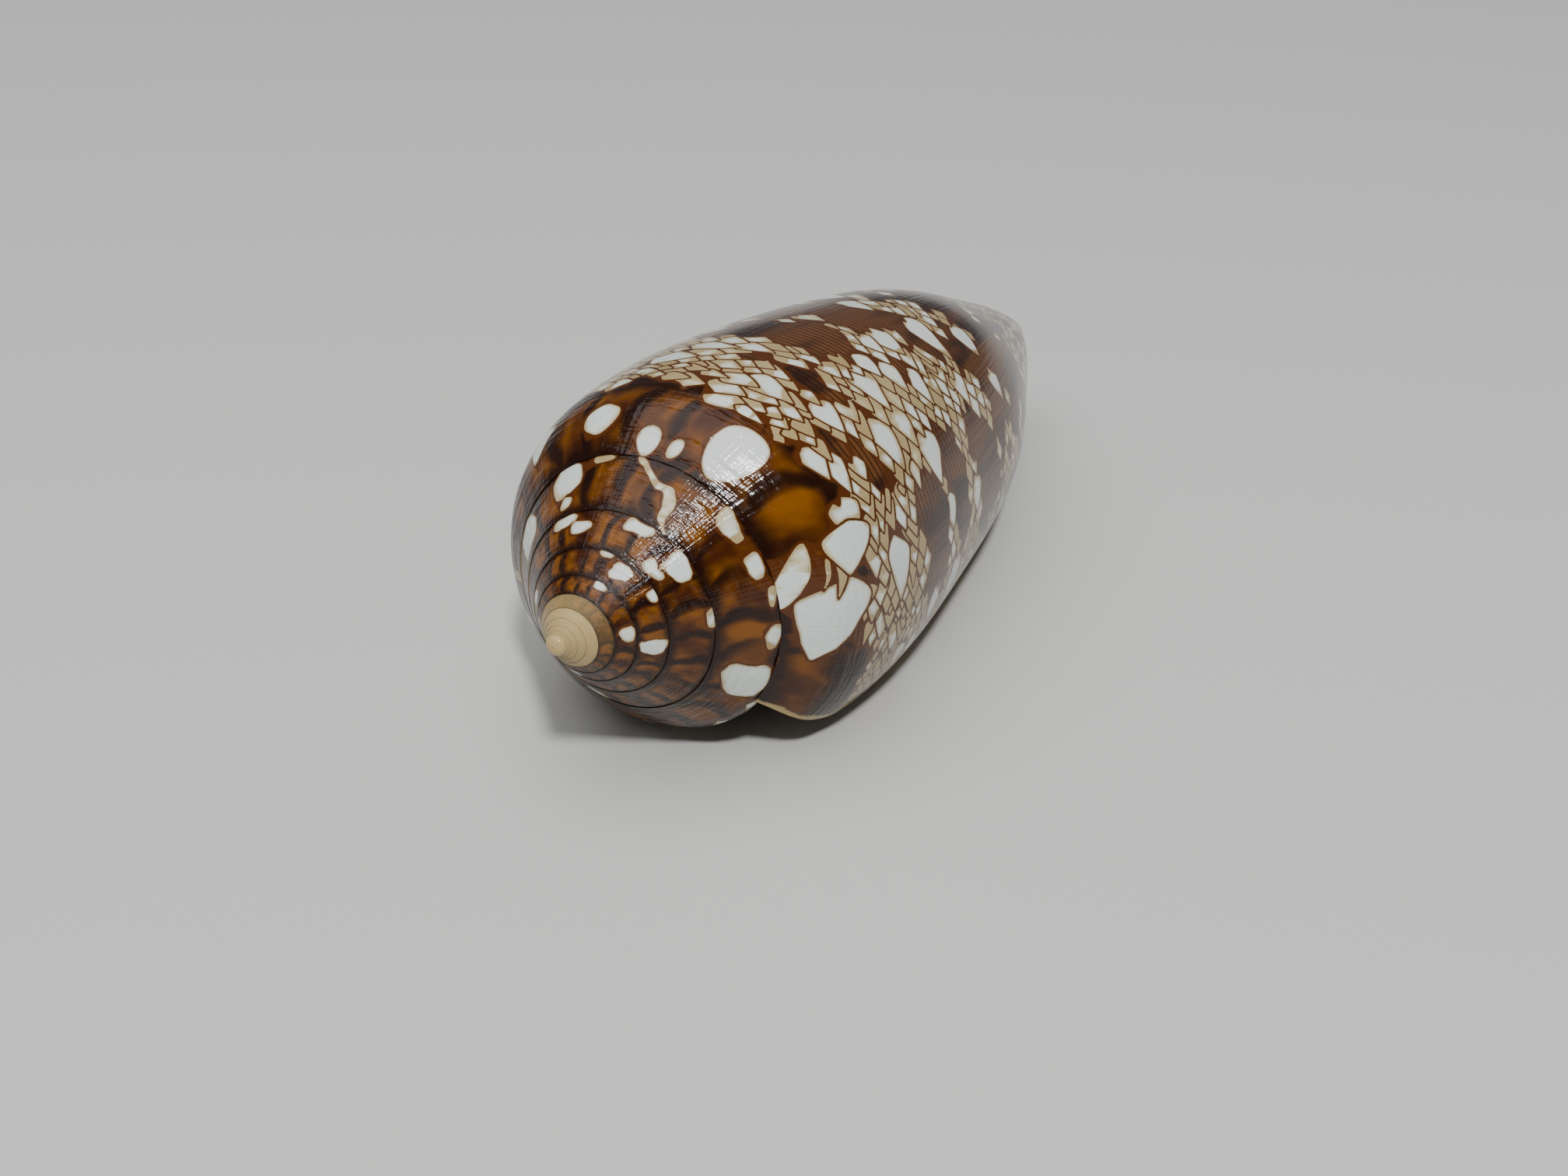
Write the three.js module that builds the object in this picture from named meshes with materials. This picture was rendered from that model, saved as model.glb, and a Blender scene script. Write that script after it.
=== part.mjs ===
// Cone shell lying on its opening, in millimetres, +Z up, the apex towards -X.
// The whole shell is one coiled surface. A place on it is given by two numbers:
//   turns  how far back along the coil from the lip, in whole turns (0 is the lip)
//   drop   from the seam where a turn starts, 0, down to the front end of the shell, 1
import * as THREE from 'three';
import { mergeVertices } from 'three/addons/utils/BufferGeometryUtils.js';

const LENGTH = 50;

// The coil
const SHOULDER_RADIUS = 10.35;
const GROWTH_PER_TURN = 1.418;
const GROWTH_SLOWING = -0.0175;
const SEAM_RATIO = 0.71;
const SPIRE_DEPTH = 7.95;
const FRONT_RISE_PER_TURN = 1.5;
const SPIRE_TURNS = 10.25;
const NUCLEUS_HEIGHT = 0.8;

// Half of a turn's outline: the radius at each drop, as a share of the shoulder radius
const OUTLINE_DROPS = [0, 0.04, 0.08, 0.13, 0.22, 0.42, 0.62, 0.8, 0.92, 1];
const OUTLINE_RADII = [SEAM_RATIO, 0.889, 0.965, 1, 1.013, 0.927, 0.775, 0.495, 0.285, 0.12];
const RAMP_END = OUTLINE_DROPS[2];
const RAMP_EDGE_RADIUS = 1.005;
const RAMP_BLEND_START = 0.65;
const BODY_START = 0.45;
const SEAM_STEP = 0.12;
const STEPLESS_TURNS = 2;

// The lip and the space behind it, with angles in degrees
const LIP_BULGE = -14.8;
const LIP_SWEEP = 14;
const LIP_ROUNDING = 0.15;
const WALL_AT_LIP = 0.55;
const WALL_INSIDE = 1.1;
const WALL_FULL_AT = 0.12;
const WALL_THINNING = 0.45;
const CAVITY_TURNS = 0.375;
const CAVITY_TAPER_START = 0.12;
const CEILING_DROP = 0.1;
const WALL_TOP_DROP = 0.03;
const FLOOR_LIFT = 0.05;
const FLOOR_FULL_AT = 0.08;
const COLUMN_SLIMMING = 0.25;
const SLIMMING_START = 0.4;
const SLIMMING_FULL = 0.9;

// How the shell lies, in degrees
const AXIS_TILT = 4.6;
const ROLL = -37.57;

// Mesh steps
const COLUMNS_PER_TURN = 24;
const RAMP_ROWS = 3;
const BODY_ROWS = 15;
const NUCLEUS_RINGS = 3;
const DERIVATIVE_STEP = 1e-3;
const SMALLEST_AREA = 1e-9;
const SAME_POINT = 1e-4;

const { lerp, smoothstep, degToRad } = THREE.MathUtils;

const shellMaterial = new THREE.MeshStandardMaterial({ color: 0xb98a5a, roughness: 0.3, metalness: 0 });

function growth(turns) {
  return GROWTH_PER_TURN ** (-turns * (1 + GROWTH_SLOWING * turns));
}

function seamRadius(turns) {
  return SEAM_RATIO * SHOULDER_RADIUS * growth(turns);
}

function seamDepth(turns) {
  return SPIRE_DEPTH * growth(turns);
}

function seamStep(turns) {
  const young = smoothstep(turns, SPIRE_TURNS - STEPLESS_TURNS, SPIRE_TURNS - 1);
  return SEAM_STEP * growth(turns) * (1 - young);
}

// A turn that the next one covers shows only its ramp, which ends at the next turn's seam.
function radiusShare(turns, drop) {
  const rampRatio = seamRadius(turns - 1) / (SHOULDER_RADIUS * growth(turns));
  const blend = smoothstep(turns, RAMP_BLEND_START, 1);
  const radii = [...OUTLINE_RADII];
  radii[1] = lerp(radii[1], (SEAM_RATIO + rampRatio) / 2, blend);
  radii[2] = lerp(radii[2], rampRatio, blend);
  radii[3] = lerp(radii[3], Math.max(RAMP_EDGE_RADIUS, rampRatio), blend);
  return new THREE.CubicInterpolant(OUTLINE_DROPS, radii, 1, []).evaluate(drop)[0];
}

// Radius from the shell's axis and depth below the apex
function section(turns, drop) {
  const covered = smoothstep(turns, RAMP_BLEND_START, 1);
  const slimming = COLUMN_SLIMMING * covered * smoothstep(drop, SLIMMING_START, SLIMMING_FULL);
  const radius = SHOULDER_RADIUS * growth(turns) * radiusShare(turns, drop) * (1 - slimming);
  const rampFall = seamDepth(turns - 1) + seamStep(turns - 1) - seamDepth(turns);
  const bodyFall = LENGTH - FRONT_RISE_PER_TURN * turns - seamDepth(turns);
  const fall = lerp(rampFall / RAMP_END, bodyFall, smoothstep(drop, RAMP_END, BODY_START));
  return new THREE.Vector2(radius, seamDepth(turns) + drop * fall);
}

// The lip isn't straight, and the growth lines behind it follow its curve.
function angleAt(turns, drop) {
  const lipCurve = LIP_BULGE * 4 * drop * (1 - drop) + LIP_SWEEP * drop;
  return 2 * Math.PI * turns + degToRad(ROLL + lipCurve * Math.max(0, 1 - turns));
}

function place(flat, angle) {
  return new THREE.Vector3(flat.x * Math.cos(angle), flat.x * Math.sin(angle), -flat.y);
}

function outside(turns, drop) {
  return place(section(turns, drop), angleAt(turns, drop));
}

function inwards(turns, drop) {
  const before = section(turns, Math.max(0, drop - DERIVATIVE_STEP));
  const after = section(turns, Math.min(1, drop + DERIVATIVE_STEP));
  const along = after.sub(before).normalize();
  return new THREE.Vector2(-along.y, along.x);
}

function wallThickness(turns, drop) {
  const thickness = lerp(WALL_AT_LIP, WALL_INSIDE, smoothstep(turns, 0, WALL_FULL_AT));
  return thickness * (1 - WALL_THINNING * smoothstep(drop, BODY_START, 1));
}

function floorDrop(turns) {
  return 1 - FLOOR_LIFT * smoothstep(turns, 0, FLOOR_FULL_AT);
}

// The covered turn, as seen through the opening; row 0 is the ceiling of the space.
function innerLip(turns, share) {
  return outside(turns + 1, lerp(CEILING_DROP, floorDrop(turns), share));
}

// The inside of the last turn's wall, which closes on the covered turn where the space ends.
function innerWall(turns, share) {
  const covered = innerLip(turns, share);
  if (share === 0) {
    return covered;
  }
  const drop = lerp(WALL_TOP_DROP, floorDrop(turns), share);
  const flat = section(turns, drop).addScaledVector(inwards(turns, drop), wallThickness(turns, drop));
  const closing = smoothstep(turns, CAVITY_TAPER_START, CAVITY_TURNS);
  return place(flat, angleAt(turns, drop)).lerp(covered, closing);
}

function steps(count, from, to) {
  return Array.from({ length: count + 1 }, (_, i) => lerp(from, to, i / count));
}

function columns(from, to) {
  return steps(Math.round((to - from) * COLUMNS_PER_TURN), from, to);
}

const rampDrops = steps(RAMP_ROWS, 0, RAMP_END);
const bodyShares = steps(BODY_ROWS, 0, 1);
const outsideDrops = [...rampDrops, ...bodyShares.map((share) => lerp(CEILING_DROP, 1, share))];

// Triangles are added as corner positions; a sheet joins neighbouring rows of points.
class Skin {
  corners = [];

  triangle(a, b, c) {
    const area = b.clone().sub(a).cross(c.clone().sub(a)).length();
    if (area > SMALLEST_AREA) {
      this.corners.push(...a, ...b, ...c);
    }
  }

  strip(left, right) {
    for (let i = 0; i + 1 < left.length; i += 1) {
      this.triangle(left[i], left[i + 1], right[i + 1]);
      this.triangle(left[i], right[i + 1], right[i]);
    }
  }

  fan(middle, around) {
    for (let i = 0; i + 1 < around.length; i += 1) {
      this.triangle(middle, around[i], around[i + 1]);
    }
  }

  sheet(rows) {
    for (let i = 0; i + 1 < rows.length; i += 1) {
      this.strip(rows[i], rows[i + 1]);
    }
  }

  geometry() {
    const loose = new THREE.BufferGeometry();
    loose.setAttribute('position', new THREE.Float32BufferAttribute(this.corners, 3));
    return mergeVertices(loose, SAME_POINT);
  }
}

// The last turn, seen all the way down
function addLastTurn(skin) {
  skin.sheet(columns(0, 1).map((turns) => outsideDrops.map((drop) => outside(turns, drop))));
}

// The ramps of the covered turns, each ending in the small step up to the next turn's seam.
// The innermost turn's ramp narrows to nothing, so that the coil ends in a closed ring.
function rampDrop(turns, drop) {
  return lerp(drop, RAMP_END, smoothstep(turns, SPIRE_TURNS - 1, SPIRE_TURNS));
}

function addSpire(skin) {
  const across = (turns) => [
    ...rampDrops.map((drop) => outside(turns, rampDrop(turns, drop))),
    outside(turns - 1, 0),
  ];
  skin.sheet(columns(1, SPIRE_TURNS).map(across));
}

// The first tiny whorl of the young shell, a smooth dome on the innermost ring
function addNucleus(skin) {
  const across = (turns) => {
    const rim = section(turns, rampDrop(turns, 0));
    const height = (ring) => NUCLEUS_HEIGHT * rim.y * Math.cos(ring * Math.PI / 2);
    const radius = (ring) => rim.x * Math.sin(ring * Math.PI / 2);
    const flat = (ring) => new THREE.Vector2(radius(ring), rim.y - height(ring));
    return steps(NUCLEUS_RINGS, 0, 1).map((ring) => place(flat(ring), angleAt(turns, 0)));
  };
  skin.sheet(columns(SPIRE_TURNS - 1, SPIRE_TURNS).map(across));
}

// The space behind the opening: the covered turn on one side, the wall on the other, a floor in front
function addCavity(skin) {
  const turnsInside = columns(0, CAVITY_TURNS);
  const covered = turnsInside.map((turns) => bodyShares.map((share) => innerLip(turns, share)));
  const wall = turnsInside.map((turns) => bodyShares.map((share) => innerWall(turns, share)));
  skin.sheet(covered);
  skin.sheet([...wall].reverse());
  skin.strip(wall.map((row) => row.at(-1)), covered.map((row) => row.at(-1)));
}

function lipRim(share) {
  const outer = outside(0, lerp(CEILING_DROP, 1, share));
  const forwards = outside(0, RAMP_END).sub(outside(DERIVATIVE_STEP, RAMP_END)).normalize();
  const rounding = share === 0 || share === 1 ? 0 : LIP_ROUNDING;
  return outer.lerp(innerWall(0, share), 0.5).addScaledVector(forwards, rounding);
}

// The lip's edge runs from the seam down to the front end, slightly rounded.
function addLip(skin) {
  const outer = bodyShares.map((share) => outside(0, lerp(CEILING_DROP, 1, share)));
  const inner = bodyShares.map((share) => innerWall(0, share));
  skin.sheet([inner, bodyShares.map(lipRim), outer]);
  const aroundTop = [inner[0], outside(1, RAMP_END), ...rampDrops.map((drop) => outside(0, drop)), outer[0]];
  skin.fan(lipRim(0), aroundTop.reverse());
}

// The front end of the coil, closed flat
function addFrontEnd(skin) {
  const edge = [...columns(0, 1).map((turns) => outside(turns, 1)), innerWall(0, 1), lipRim(1)];
  const middle = new THREE.Vector3();
  edge.forEach((point) => middle.addScaledVector(point, 1 / edge.length));
  skin.fan(middle, [...edge, edge[0]].reverse());
}

function layDown(shell) {
  const tilt = degToRad(AXIS_TILT);
  const apexWay = new THREE.Vector3(-Math.cos(tilt), 0, Math.sin(tilt));
  const upWay = new THREE.Vector3(Math.sin(tilt), 0, Math.cos(tilt));
  const sideWay = new THREE.Vector3().crossVectors(upWay, apexWay);
  shell.quaternion.setFromRotationMatrix(new THREE.Matrix4().makeBasis(sideWay, upWay, apexWay));
  const box = new THREE.Box3().setFromObject(shell, true);
  const middle = box.getCenter(new THREE.Vector3());
  shell.position.set(-middle.x, -middle.y, -box.min.z);
}

function makeShell() {
  const skin = new Skin();
  addLastTurn(skin);
  addSpire(skin);
  addNucleus(skin);
  addCavity(skin);
  addLip(skin);
  addFrontEnd(skin);
  const shell = new THREE.Mesh(skin.geometry(), shellMaterial);
  shell.name = 'shell';
  layDown(shell);
  return shell;
}

const coneShell = new THREE.Group();
coneShell.add(makeShell());

export default coneShell;
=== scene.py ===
"""Cone shell lying on its opening, on a pale floor, in metres, +Z up, the apex towards -X.

The coiled surface is the CAD part's own, made again here with a fine mesh. A place on it has two
numbers: turns, how far back along the coil from the lip, and drop, from the seam, 0, down to the
front end, 1. The markings are in the mesh itself: the last turn and the spire are each laid flat
as a sheet, white tents and blotches are painted on it, and their outlines become triangle edges.
"""

import math

import bpy
import numpy as np
from mathutils import Matrix, Vector
from mathutils.geometry import delaunay_2d_cdt

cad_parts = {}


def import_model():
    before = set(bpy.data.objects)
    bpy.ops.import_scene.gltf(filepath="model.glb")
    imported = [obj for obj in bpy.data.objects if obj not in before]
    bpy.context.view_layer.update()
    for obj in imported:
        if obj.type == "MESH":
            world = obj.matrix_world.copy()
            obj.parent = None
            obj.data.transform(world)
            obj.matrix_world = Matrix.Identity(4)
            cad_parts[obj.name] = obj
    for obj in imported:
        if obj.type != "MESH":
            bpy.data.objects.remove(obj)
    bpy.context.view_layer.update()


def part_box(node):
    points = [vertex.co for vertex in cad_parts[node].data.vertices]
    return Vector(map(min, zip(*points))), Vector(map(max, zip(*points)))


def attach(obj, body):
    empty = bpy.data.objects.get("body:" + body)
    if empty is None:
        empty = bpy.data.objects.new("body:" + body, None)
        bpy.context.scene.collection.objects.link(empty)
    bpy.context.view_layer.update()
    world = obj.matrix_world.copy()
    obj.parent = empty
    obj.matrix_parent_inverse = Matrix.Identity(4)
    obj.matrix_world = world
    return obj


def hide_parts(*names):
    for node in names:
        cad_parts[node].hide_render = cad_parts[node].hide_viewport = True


MM = 0.001
TURN = 2 * math.pi

# The coil, in millimetres and degrees, as in the CAD part; only the dome on the apex is flatter
LENGTH = 50.0
SHOULDER_RADIUS = 10.35
GROWTH_PER_TURN = 1.418
GROWTH_SLOWING = -0.0175
SEAM_RATIO = 0.71
SPIRE_DEPTH = 7.95
FRONT_RISE_PER_TURN = 1.5
SPIRE_TURNS = 10.25
NUCLEUS_HEIGHT = 0.6
OUTLINE_DROPS = np.array([0, 0.04, 0.08, 0.13, 0.22, 0.42, 0.62, 0.8, 0.92, 1])
OUTLINE_RADII = np.array([SEAM_RATIO, 0.889, 0.965, 1, 1.013, 0.927, 0.775, 0.495, 0.285, 0.12])
RAMP_END = 0.08
RAMP_EDGE_RADIUS = 1.005
RAMP_BLEND_START = 0.65
BODY_START = 0.45
SEAM_STEP = 0.12
STEPLESS_TURNS = 2
LIP_BULGE = -14.8
LIP_SWEEP = 14
LIP_ROUNDING = 0.15
WALL_AT_LIP = 0.55
WALL_INSIDE = 1.1
WALL_FULL_AT = 0.12
WALL_THINNING = 0.45
CAVITY_TURNS = 0.375
CAVITY_TAPER_START = 0.12
CEILING_DROP = 0.1
WALL_TOP_DROP = 0.03
FLOOR_LIFT = 0.05
FLOOR_FULL_AT = 0.08
COLUMN_SLIMMING = 0.25
SLIMMING_START = 0.4
SLIMMING_FULL = 0.9
AXIS_TILT = 4.6
ROLL = -37.57
SMALL_STEP = 1e-3

# The flat sheets, in millimetres: the last turn, and the spire's ramps end to end in ramp widths
TURN_LENGTH = 61.0
TURN_HEIGHT = 42.0
RAMP_LENGTH = 12.5
RAMP_WIDTH = 3.0
SHEET_PIXEL = 0.07
RAMP_PIXEL = 0.022

# The mesh over the sheets: distance between grid points, how much of that they keep off an
# outline, and, in pixels, how far a thinned outline may stray and how long it has to be
SHEET_SPACING = 0.55
RAMP_SPACING = 0.14
CLEAR_OF_OUTLINE = 0.22
CONTOUR_TOLERANCE = 0.14
SHORTEST_OUTLINE = 8
SMALLEST_TRIANGLE = 1e-9
SAME_CORNER = 1e-4
SEAM_POINTS = 1200
NUCLEUS_GRID = (97, 13)
INSIDE_GRID = (41, 121)
LIP_GRID = (7, 400)
LIP_CORNER_POINTS = 9
FRONT_POINTS = 97
# The kinds of sheet, which the material tells apart
LAST_TURN, SPIRE, INSIDE = 0.0, 1.0, 2.0

# A tent's shape: where it is widest, how its sides curve, how round its point is and how slim it is;
# and how far beyond its half length and half width it is painted
SEED = 7
LINE_HALF_WIDTH = 0.058
WIDEST = 0.45
SIDE_CURVE = 1.5
TIP_ROUNDING = 0.003
SLIMNESS = 0.74
PAINTED_SHARE = 1.4
PAINTED_MARGIN = 0.3
GENTLEST_SLOPE = 0.25
BARE_GROUND = 0.02
# Outlines wander, on the last turn and on the spire: by how much, over how many pixels
WANDER = ((0.14, 30), (0.035, 9))
SPIRE_WANDER = ((0.06, 14), (0.02, 5))

# Tents spread at random: their size against the usual one, the number of tries, the room they keep
SPREADS = ((1.5, 900, 0.95), (1.0, 1500, 0.95))
USUAL_SIZE = 0.62
SIZE_RANGE = (0.8, 1.15)
MOOD_SHAPE = (80, 110)
MOOD_CELL = 7
MOOD_STRENGTH = 0.55
# Where tents are bigger: drop of the middle and half width of the band, and what it adds
BIG_BANDS = ((0.30, 0.08, 0.5), (0.48, 0.1, 0.4))
SMALL_AT_LIP = 0.7
SMALL_TO_TURNS = 0.14

# Tents in rows: length and width up to FINE_END millimetres behind the lip, and beyond it
FINE_END = 6.5
FINE_SCALE = (1.05, 0.66)
COARSE_SCALE = (1.5, 0.95)
ROW_DRIFT = 0.8
ROW_DRIFT_CELL = 5
ROW_OVERLAP = (0.68, 0.8)
ROW_SIZES = (0.92, 1.12)
ROW_JITTER = (0.08, 0.06)
# The place in a small tent that has to be clear of the big ones, in half lengths before its middle
CLEAR_PLACE = 0.3

# Brown tents: how ragged a patch is, from what half length tents are more often white, and the
# share that is brown towards the front end, growing between two drops
PATCH_RAGGEDNESS = 0.2
LONG_TENT = 1.1
FRONT_BROWN = 0.5
FRONT_BROWN_FROM = 0.4
FRONT_BROWN_FULL = 0.6

# The shoulder, in millimetres: a brown band where tents are round, lean near the lip and lie in
# front; between the two plain places long tents show in it
SHOULDER_BAND = 3.3
BAND_RAGGEDNESS = 0.3
PLAIN_BROWN_TO = 33.0
PLAIN_BROWN_FROM = 51.0
ROUND_ABOVE = 1.5
POINTED_BELOW = 1.7
LIP_LEAN = 0.34
LEAN_ABOVE = 3.2
LEVEL_BELOW = 5.0
LEAN_BEFORE = 10.0
LEVEL_AFTER = 12.0
SHOULDER_IN_FRONT = 3.0

# Big white tents of the last turn: turns and drop of the middle, half length along the turn and
# half width in millimetres
TENTS = [
    (0.104, 0.041, 2.4, 1.7), (0.148, 0.0145, 1.9, 0.54), (0.148, 0.040, 0.95, 0.17),
    (0.143, 0.053, 1.2, 0.36), (0.162, 0.072, 1.3, 1.35), (0.185, 0.085, 1.2, 1.0),
    (0.232, 0.090, 1.0, 0.8), (0.220, 0.108, 1.2, 0.75), (0.215, 0.140, 0.7, 0.6),
    (0.222, 0.215, 1.5, 1.0), (0.258, 0.195, 0.9, 0.8), (0.262, 0.160, 1.2, 0.9),
    (0.228, 0.265, 1.3, 0.9), (0.195, 0.290, 1.6, 1.1), (0.265, 0.265, 1.5, 0.9),
    (0.285, 0.300, 1.0, 0.8), (0.265, 0.325, 1.2, 0.8), (0.247, 0.360, 1.3, 0.8),
    (0.240, 0.390, 0.9, 0.6), (0.200, 0.375, 0.9, 0.5), (0.178, 0.380, 0.6, 0.35),
    (0.180, 0.190, 1.0, 0.6), (0.132, 0.150, 1.8, 0.95), (0.170, 0.115, 0.9, 0.6),
    (0.125, 0.175, 0.9, 0.35), (0.122, 0.085, 0.7, 0.6), (0.090, 0.085, 0.7, 0.35),
    (0.190, 0.235, 0.8, 0.5), (0.187, 0.195, 0.4, 0.4), (0.300, 0.270, 0.8, 0.55),
    (0.360, 0.360, 1.0, 0.7), (0.325, 0.360, 0.7, 0.35), (0.280, 0.480, 2.0, 1.0),
    (0.276, 0.035, 1.6, 1.25), (0.315, 0.080, 1.4, 0.75), (0.295, 0.078, 0.9, 0.35),
    (0.325, 0.100, 1.0, 0.75), (0.370, 0.098, 0.9, 0.5), (0.420, 0.088, 0.9, 0.6),
    (0.414, 0.034, 1.2, 0.65), (0.352, 0.015, 0.85, 0.55), (0.322, 0.013, 0.5, 0.4),
    (0.380, 0.200, 1.4, 0.7), (0.350, 0.210, 1.1, 0.7), (0.330, 0.235, 0.5, 0.4),
    (0.315, 0.235, 0.8, 0.5), (0.295, 0.240, 0.8, 0.7), (0.335, 0.350, 0.5, 0.3),
    (0.420, 0.300, 0.8, 0.5), (0.405, 0.330, 0.8, 0.5), (0.385, 0.240, 0.5, 0.3),
    (0.305, 0.135, 1.4, 0.9), (0.325, 0.125, 1.0, 0.75), (0.345, 0.120, 0.8, 0.45),
    (0.365, 0.125, 0.9, 0.5), (0.280, 0.120, 0.9, 0.6), (0.285, 0.140, 0.8, 0.5),
    (0.282, 0.165, 0.6, 0.45), (0.262, 0.115, 0.8, 0.6), (0.285, 0.100, 0.5, 0.5),
    (0.275, 0.095, 0.55, 0.5), (0.262, 0.092, 0.5, 0.45), (0.240, 0.110, 0.8, 0.5),
    (0.225, 0.450, 1.3, 0.8), (0.200, 0.560, 1.2, 0.7), (0.255, 0.560, 1.4, 0.9),
    (0.495, 0.055, 1.3, 1.1), (0.600, 0.140, 1.6, 1.2), (0.650, 0.060, 1.6, 1.2),
    (0.745, 0.215, 1.4, 1.1), (0.785, 0.070, 1.4, 1.0), (0.790, 0.115, 0.9, 0.7),
    (0.815, 0.085, 0.9, 0.6), (0.855, 0.075, 1.2, 0.8), (0.855, 0.145, 1.0, 0.7),
]
# Brown patches of the last turn: turns and drop of the middle, half length and half height in
# millimetres
PATCHES = [
    (0.030, 0.050, 4.6, 2.2), (0.060, 0.076, 3.2, 1.1), (0.215, 0.035, 3.0, 1.9),
    (0.250, 0.055, 1.4, 1.4), (0.131, 0.088, 1.2, 0.7), (0.340, 0.035, 3.6, 1.9),
    (0.430, 0.045, 4.4, 1.9), (0.390, 0.078, 4.4, 0.7), (0.560, 0.035, 5.0, 2.0),
    (0.820, 0.018, 12.0, 2.2), (0.140, 0.245, 3.6, 1.7), (0.168, 0.332, 3.2, 1.3),
    (0.215, 0.165, 1.6, 0.6), (0.240, 0.135, 1.2, 0.6), (0.305, 0.190, 3.2, 0.8),
    (0.390, 0.262, 5.0, 1.0), (0.345, 0.300, 4.0, 1.5), (0.370, 0.400, 4.4, 2.6),
    (0.440, 0.360, 4.6, 3.0), (0.300, 0.450, 2.4, 1.2), (0.265, 0.355, 1.6, 0.6),
    (0.150, 0.450, 3.6, 2.2), (0.915, 0.240, 3.4, 5.0), (0.220, 0.540, 3.0, 1.6),
    (0.560, 0.250, 4.5, 2.0), (0.540, 0.400, 5.0, 3.0), (0.700, 0.300, 5.0, 2.2),
    (0.700, 0.420, 4.0, 2.6), (0.860, 0.450, 5.0, 3.0), (0.450, 0.540, 4.0, 1.6),
    (0.320, 0.640, 4.0, 1.8), (0.600, 0.600, 5.0, 1.8), (0.180, 0.680, 3.6, 2.0),
]
# White blotches of the spire: first and last turns, first and last share of the ramp's width
BLOTCHES = [
    (1.000, 1.052, 0.20, 0.96), (1.070, 1.100, 0.75, 1.00), (1.125, 1.145, 0.82, 0.97),
    (1.155, 1.188, 0.62, 0.92), (1.204, 1.242, 0.62, 0.95), (1.385, 1.410, 0.80, 0.97),
    (1.425, 1.475, 0.42, 1.00), (1.440, 1.460, 0.15, 0.38), (1.520, 1.580, 0.20, 0.90),
    (1.700, 1.735, 0.30, 0.80), (1.800, 1.840, 0.60, 0.98),
    (2.110, 2.135, 0.78, 1.00), (2.190, 2.240, 0.45, 0.95), (2.210, 2.260, 0.10, 0.42),
    (2.280, 2.330, 0.60, 0.95), (2.385, 2.430, 0.38, 0.72), (2.420, 2.475, 0.65, 1.00),
    (2.650, 2.690, 0.35, 0.85), (3.060, 3.100, 0.10, 0.90),
    (3.180, 3.210, 0.70, 1.00), (3.250, 3.300, 0.30, 0.90), (3.310, 3.340, 0.75, 1.00),
    (3.560, 3.600, 0.30, 0.85), (3.800, 3.840, 0.40, 0.95), (4.100, 4.150, 0.30, 0.90),
    (4.270, 4.310, 0.60, 0.95), (4.600, 4.650, 0.30, 0.80),
]

# A blotch narrows towards its older end, and its corners are squarer than an ellipse's
BLOTCH_TAPER = 0.25
BLOTCH_SQUARENESS = 1.3
BLOTCH_SLOPE = 0.7

# The pale growth scar across the spire, in turns and ramp widths
SCAR_START = 1.264
SCAR_SLANT = 0.081
SCAR_HALF_WIDTH = 0.085
SCAR_WAVE = 0.12
SCAR_WAVES = 9

# The brown's flames and fine lines, in millimetres, and how the flames bend and wander
FLAME_SPACING = 3.0
FLAME_BEND = 1.9
FLAME_WANDER = 6.0
LINE_SPACING = 0.38
LINE_WANDER = 2.4
# Where their waves turn dark, and how dark; the same for the seams, in half ramp widths
FLAME_WAVE = (-0.2, 1.0)
FLAME_STRENGTH = 0.95
LINE_WAVE = (0.0, 0.9)
LINE_STRENGTH = 0.75
DARK_SEAM = (0.42, 0.95)
SEAM_RAGGEDNESS = 0.3
SUTURE_EDGE = (0.86, 1.0)
SUTURE_STRENGTH = 0.7
# The lip: how ragged its worn edge is, in millimetres, and how pale it gets
WORN_RAGGEDNESS = 1.1
PALE_LIP_STRENGTH = 0.8

# The material's noises in hills per millimetre; patches also say where they start and are full
AMBER_PATCHES = (0.4, 0.35, 0.65)
FLAME_PATCHES = (0.2, 0.28, 0.48, 1.0)
CREAMY_PATCHES = (0.15, 0.46, 0.64)
STREAKS = (1.0, 0.38, 0.62)
SEAM_NOISE = 0.9
LINE_NOISE = 0.5
BEIGE_NOISE = 0.3
WORN_NOISE = 1.2
APEX_NOISE = 0.5
# Noises stretched along the turn or down it: hills per millimetre each way
FLAME_STRETCH = (0.3, 0.3, 0)
STREAK_STRETCH = (0.5, 0.1, 0)
THREAD_STRETCH = (0.5, 3.4, 0)
GROWTH_LINE_STRETCH = (4.0, 0.15, 0)

# Where things fade, each from nothing to full: the spire's cream in turns, the rest in millimetres
CREAM_TURNS = (4.9, 5.9)
BODY_BROWN_DROP = (4.4, 6.0)
LIP_SHADE_ALONG = (6.5, 3.5)
LIP_SHADE_DROP = (1.0, 2.4)
PALE_LIP_ALONG = (1.0, 0.2)
PALE_LIP_DROP = (4.0, 6.0)
WORN_LIP_ALONG = (-0.1, -0.35)
WIDE_BROWN_DEPTH = (0.06, 0.17)
SMALL_TENT_DEPTH = (0.27, 0.12)
RIM_DEPTH = (0.0, 0.12)
THREADS_DROP = (6.0, 1.5)

# Colours, as screen values
AMBER = ((56, 23, 2), (114, 66, 8))
FLAME_BROWN = (22, 4, 1)
BODY_BROWN = ((40, 18, 7), (96, 58, 26))
SPIRAL_LINE = (30, 10, 3)
TENT_LINE = (76, 38, 8)
BEIGE = ((142, 118, 72), (178, 162, 124))
WHITE = (204, 210, 205)
CREAMY_WHITE = (184, 169, 130)
APEX_CREAM = ((172, 148, 98), (182, 160, 112))
SUTURE = (96, 58, 26)
INSIDE_CREAM = (214, 198, 168)

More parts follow.
